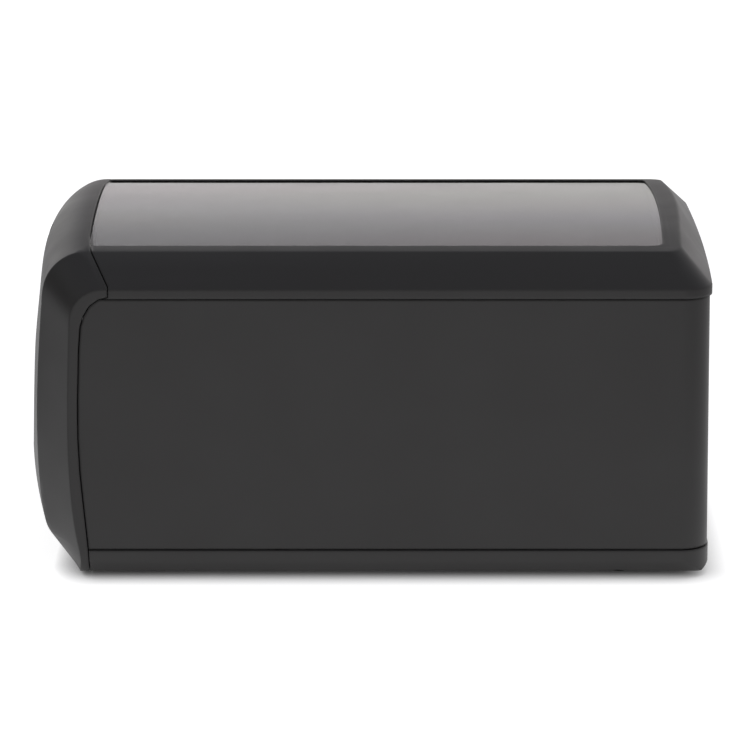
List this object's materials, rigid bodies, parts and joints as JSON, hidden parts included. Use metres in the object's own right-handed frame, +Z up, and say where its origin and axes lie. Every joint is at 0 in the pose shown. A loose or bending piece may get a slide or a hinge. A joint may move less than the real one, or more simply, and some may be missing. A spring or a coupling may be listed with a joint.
{
  "type": "napkin dispenser",
  "caption": "Countertop interfold napkin dispenser with a drop-down front, a sprung napkin pusher and a clear display window in its crowned top.",
  "frame": {"origin": "on the counter plane, under the middle of the overall length and width", "axes": "+Z up, -X out of the dispensing front, +Y across the dispenser"},
  "size_m": [0.3069, 0.198, 0.1505],
  "materials": {
    "abs_black": "fine moulded texture",
    "abs_charcoal": "plain moulded",
    "clear_lens": "gloss moulded acrylic",
    "acetal": "turned",
    "plated_steel": "zinc plated",
    "spring_steel": "drawn wire",
    "zinc_diecast": "satin chrome plated",
    "ballast_steel": "cold rolled",
    "screw_steel": "zinc plated",
    "foot_rubber": "moulded"
  },
  "bodies": {
    "housing": {"base_tray": "abs_black", "body_shell": "abs_black", "top_cover": "abs_black", "display_window": "clear_lens", "lock_strike": "plated_steel", "magazine_tray": "abs_charcoal", "guide_rods": "plated_steel", "rod_bracket_front": "abs_charcoal", "rod_bracket_rear": "abs_charcoal", "ballast_bars": "ballast_steel", "rubber_feet": "foot_rubber", "base_screws": "screw_steel", "cover_screws": "screw_steel", "tray_screws": "screw_steel", "bracket_screws": "screw_steel", "ballast_screws": "screw_steel", "strike_screws": "screw_steel", "pusher_spring_left": "spring_steel", "pusher_spring_right": "spring_steel"},
    "front": {"front_bezel": "abs_black", "mouth_insert": "abs_charcoal", "hinge_pins": "plated_steel", "lock_sleeve": "zinc_diecast", "lock_nut": "plated_steel", "insert_screws": "screw_steel"},
    "lock_core": {"lock_barrel": "zinc_diecast", "lock_cam": "plated_steel", "cam_screw": "screw_steel"},
    "pusher": {"pusher_plate": "abs_charcoal", "pusher_carriage": "abs_charcoal", "carriage_bushes": "acetal", "pusher_screws": "screw_steel"}
  },
  "joints": [
    {"name": "front_hinge", "type": "hinge", "parent": "housing", "child": "front", "pos_m": [-0.1275, 0, 0.0039], "axis": [0, -1, 0], "range_deg": [0, 50]},
    {"name": "lock_turn", "type": "hinge", "parent": "front", "child": "lock_core", "pos_m": [-0.143, 0, 0.133], "axis": [1, 0, 0], "range_deg": [0, 90]},
    {"name": "pusher_slide", "type": "slide", "parent": "housing", "child": "pusher", "axis": [1, 0, 0], "range_m": [0, 0.195], "stiffness_N_per_m": 20, "springref_m": -0.1, "deforming": ["pusher_spring_left", "pusher_spring_right"]}
  ]
}
